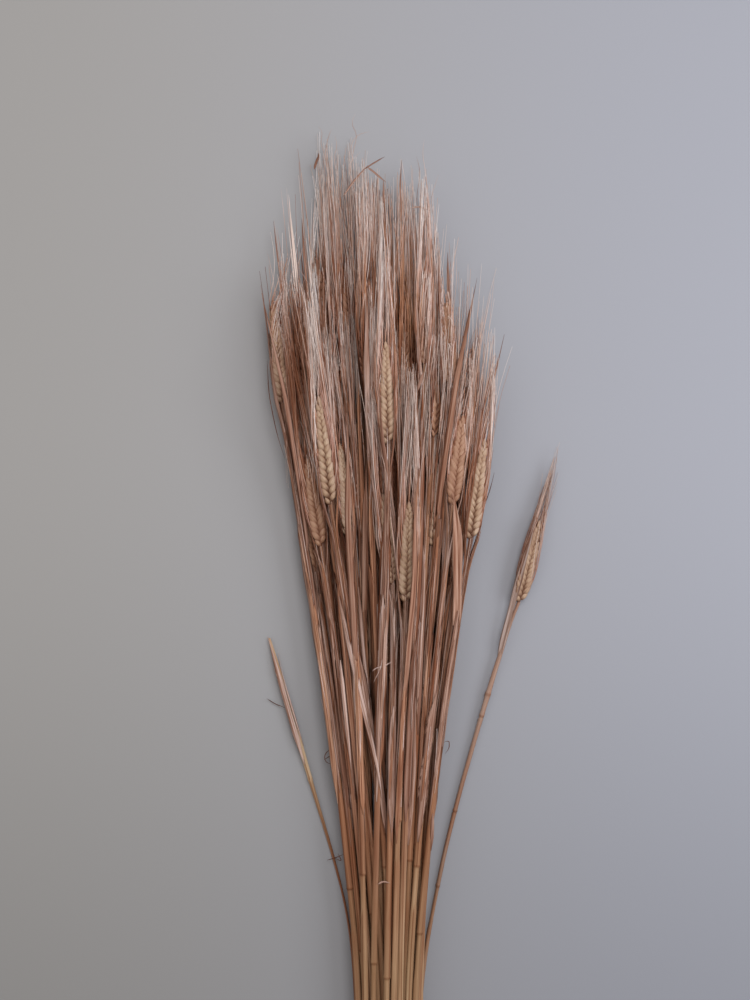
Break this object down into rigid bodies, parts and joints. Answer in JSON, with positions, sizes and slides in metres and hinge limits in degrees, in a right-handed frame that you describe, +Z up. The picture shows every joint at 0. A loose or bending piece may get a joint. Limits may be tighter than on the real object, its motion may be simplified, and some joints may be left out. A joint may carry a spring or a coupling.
{
  "type": "dried wheat bundle",
  "caption": "Bundle of cut, dried, bearded wheat lying flat, with ears and long awns at one end and cut stem ends at the other",
  "frame": {"origin": "on the surface that the bundle lies on, under the middle of its bounding box", "axes": "+Y runs along the stalks from the cut ends to the beards, +X across the bundle to the right seen from above with the ears away from the viewer, +Z up from the surface"},
  "size_m": [0.2176, 0.6898, 0.0443],
  "materials": {
    "dyed_straw": "matte",
    "golden_straw": "matte",
    "brown_straw": "matte"
  },
  "bodies": {
    "root": {"stalk_01": "golden_straw", "stalk_02": "dyed_straw", "stalk_03": "golden_straw", "stalk_04": "dyed_straw", "stalk_05": "dyed_straw", "stalk_06": "dyed_straw", "stalk_07": "dyed_straw", "stalk_08": "dyed_straw", "stalk_09": "golden_straw", "stalk_10": "dyed_straw", "stalk_11": "dyed_straw", "stalk_12": "dyed_straw", "stalk_13": "dyed_straw", "stalk_14": "brown_straw", "stalk_15": "dyed_straw", "stalk_16": "dyed_straw", "stalk_17": "brown_straw", "stalk_18": "golden_straw", "stalk_19": "golden_straw", "stalk_20": "golden_straw", "stalk_21": "golden_straw", "stalk_22": "brown_straw", "stalk_23": "brown_straw", "stalk_24": "brown_straw", "stalk_25": "brown_straw", "stalk_26": "dyed_straw", "stalk_27": "brown_straw", "stalk_28": "brown_straw", "stalk_29": "brown_straw", "stalk_30": "brown_straw", "stalk_31": "dyed_straw", "stalk_32": "brown_straw", "stalk_33": "dyed_straw", "stalk_34": "dyed_straw", "stalk_35": "brown_straw", "stalk_36": "dyed_straw", "stalk_37": "dyed_straw", "stalk_38": "dyed_straw", "stalk_39": "brown_straw", "stalk_40": "brown_straw", "stalk_41": "dyed_straw", "stalk_42": "brown_straw", "stalk_43": "dyed_straw", "stalk_44": "brown_straw", "stalk_45": "dyed_straw", "broken_stalk": "golden_straw"}
  },
  "joints": []
}
